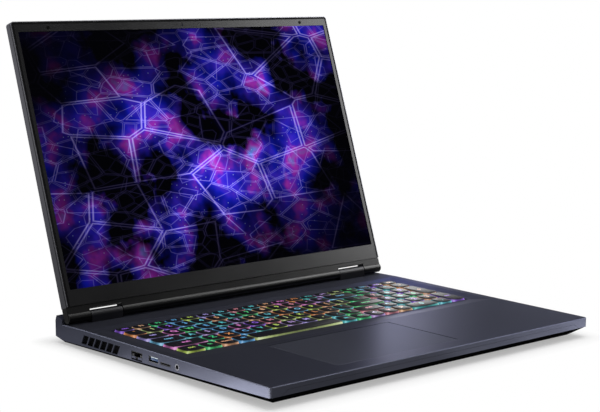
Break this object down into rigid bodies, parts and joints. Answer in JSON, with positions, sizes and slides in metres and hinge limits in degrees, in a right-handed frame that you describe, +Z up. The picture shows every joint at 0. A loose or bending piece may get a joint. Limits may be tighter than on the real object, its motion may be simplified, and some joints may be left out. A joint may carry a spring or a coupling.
{
  "type": "laptop computer",
  "caption": "Open large-screen laptop with lit keyboard, number pad, touchpad, side vents, sockets, raised rear tail and a lid on two friction hinges.",
  "frame": {"origin": "on the table under the middle of the open laptop's box", "axes": "+X to the right along the hinge line, +Y towards the rear, +Z up"},
  "size_m": [0.403, 0.3735, 0.2872],
  "materials": {
    "case_metal": "satin anodised",
    "hinge_metal": "satin",
    "lid_metal": "satin anodised",
    "cover_plastic": "matt",
    "rubber": "matt",
    "bezel": "satin",
    "screen": "satin",
    "key_plastic": "satin",
    "touchpad": "satin",
    "light_sheet": "matt",
    "steel": "brushed",
    "socket_metal": "brushed",
    "socket_plastic": "matt",
    "camera_glass": "gloss",
    "circuit_board": "satin",
    "chip": "satin",
    "copper": "satin",
    "fin_metal": "satin",
    "fan_plastic": "matt",
    "battery_wrap": "matt",
    "speaker_plastic": "matt"
  },
  "bodies": {
    "base": {"top_case": "case_metal", "front_lip": "case_metal", "left_io_panel": "case_metal", "hinge_blocks": "hinge_metal", "bottom_cover": "cover_plastic", "rear_grilles": "cover_plastic", "vent_screens": "cover_plastic", "rubber_feet": "rubber", "key_light_sheet": "light_sheet", "case_screws": "steel", "hinge_base_brackets": "steel", "keyboard_plate": "steel", "touchpad_tray": "steel", "usb_port_left": "socket_metal", "usb_ports_right": "socket_metal", "card_reader": "socket_metal", "rear_ports": "socket_metal", "ethernet_jack": "socket_plastic", "audio_jack": "socket_plastic", "main_board": "circuit_board", "port_boards": "circuit_board", "memory_modules": "circuit_board", "storage_drives": "circuit_board", "wireless_card": "circuit_board", "processor_chips": "chip", "heat_pipes": "copper", "fin_stacks": "fin_metal", "fan_housings": "fan_plastic", "battery_pack": "battery_wrap", "speakers": "speaker_plastic"},
    "lid": {"lid_back_cover": "lid_metal", "lid_groove_gasket": "rubber", "lid_frame": "lid_metal", "bezel_gasket": "rubber", "display_bezel": "bezel", "display_panel": "screen", "lid_lower_strip": "lid_metal", "hinge_pins": "steel", "lid_hinge_brackets": "steel", "webcam_module": "circuit_board", "webcam_lens": "camera_glass", "lid_bumpers": "rubber"},
    "touchpad": {"touchpad_glass": "touchpad"},
    "network_jaw": {"ethernet_jaw": "socket_plastic"},
    "fan_left": {"fan_rotor_left": "fan_plastic"},
    "fan_right": {"fan_rotor_right": "fan_plastic"},
    "function_keys": {"function_keys": "key_plastic"},
    "power_key": {"power_key": "key_plastic"},
    "number_keys": {"number_keys": "key_plastic"},
    "upper_letter_keys": {"upper_letter_keys": "key_plastic"},
    "home_letter_keys": {"home_letter_keys": "key_plastic"},
    "enter_key": {"enter_key": "key_plastic"},
    "left_shift_key": {"left_shift_key": "key_plastic"},
    "lower_letter_keys": {"lower_letter_keys": "key_plastic"},
    "bottom_row_keys": {"bottom_row_keys": "key_plastic"},
    "space_bar": {"space_bar": "key_plastic"},
    "arrow_keys": {"arrow_keys": "key_plastic"},
    "numpad_keys": {"numpad_keys": "key_plastic"}
  },
  "joints": [
    {"name": "lid_hinge", "type": "hinge", "parent": "base", "child": "lid", "pos_m": [0, 0.0895, 0.0245], "axis": [-1, 0, 0], "range_deg": [-109.6, 25.4]},
    {"name": "touchpad_click", "type": "hinge", "parent": "base", "child": "touchpad", "pos_m": [-0.0365, -0.083, 0.0176], "axis": [1, 0, 0], "range_deg": [0, 0.233], "stiffness_Nm_per_rad": 10, "springref_deg": -0.34},
    {"name": "jaw_drop", "type": "hinge", "parent": "base", "child": "network_jaw", "pos_m": [-0.2006, -0.0161, 0.0077], "axis": [0, -1, 0], "range_deg": [0, 25], "stiffness_Nm_per_rad": 0.002, "springref_deg": -17.19},
    {"name": "fan_left_spin", "type": "hinge", "parent": "base", "child": "fan_left", "pos_m": [-0.138, 0.012, 0.008], "axis": [0, 0, 1], "continuous": true},
    {"name": "fan_right_spin", "type": "hinge", "parent": "base", "child": "fan_right", "pos_m": [0.138, 0.012, 0.008], "axis": [0, 0, 1], "continuous": true},
    {"name": "function_keys_press", "type": "slide", "parent": "base", "child": "function_keys", "axis": [0, 0, 1], "range_m": [-0.0014, 0], "stiffness_N_per_m": 600, "springref_m": 0.001},
    {"name": "power_key_press", "type": "slide", "parent": "base", "child": "power_key", "axis": [0, 0, 1], "range_m": [-0.0014, 0], "stiffness_N_per_m": 600, "springref_m": 0.001},
    {"name": "number_keys_press", "type": "slide", "parent": "base", "child": "number_keys", "axis": [0, 0, 1], "range_m": [-0.0014, 0], "stiffness_N_per_m": 600, "springref_m": 0.001},
    {"name": "upper_letter_keys_press", "type": "slide", "parent": "base", "child": "upper_letter_keys", "axis": [0, 0, 1], "range_m": [-0.0014, 0], "stiffness_N_per_m": 600, "springref_m": 0.001},
    {"name": "home_letter_keys_press", "type": "slide", "parent": "base", "child": "home_letter_keys", "axis": [0, 0, 1], "range_m": [-0.0014, 0], "stiffness_N_per_m": 600, "springref_m": 0.001},
    {"name": "enter_key_press", "type": "slide", "parent": "base", "child": "enter_key", "axis": [0, 0, 1], "range_m": [-0.0014, 0], "stiffness_N_per_m": 600, "springref_m": 0.001},
    {"name": "left_shift_key_press", "type": "slide", "parent": "base", "child": "left_shift_key", "axis": [0, 0, 1], "range_m": [-0.0014, 0], "stiffness_N_per_m": 600, "springref_m": 0.001},
    {"name": "lower_letter_keys_press", "type": "slide", "parent": "base", "child": "lower_letter_keys", "axis": [0, 0, 1], "range_m": [-0.0014, 0], "stiffness_N_per_m": 600, "springref_m": 0.001},
    {"name": "bottom_row_keys_press", "type": "slide", "parent": "base", "child": "bottom_row_keys", "axis": [0, 0, 1], "range_m": [-0.0014, 0], "stiffness_N_per_m": 600, "springref_m": 0.001},
    {"name": "space_bar_press", "type": "slide", "parent": "base", "child": "space_bar", "axis": [0, 0, 1], "range_m": [-0.0014, 0], "stiffness_N_per_m": 600, "springref_m": 0.001},
    {"name": "arrow_keys_press", "type": "slide", "parent": "base", "child": "arrow_keys", "axis": [0, 0, 1], "range_m": [-0.0014, 0], "stiffness_N_per_m": 600, "springref_m": 0.001},
    {"name": "numpad_keys_press", "type": "slide", "parent": "base", "child": "numpad_keys", "axis": [0, 0, 1], "range_m": [-0.0014, 0], "stiffness_N_per_m": 600, "springref_m": 0.001}
  ]
}
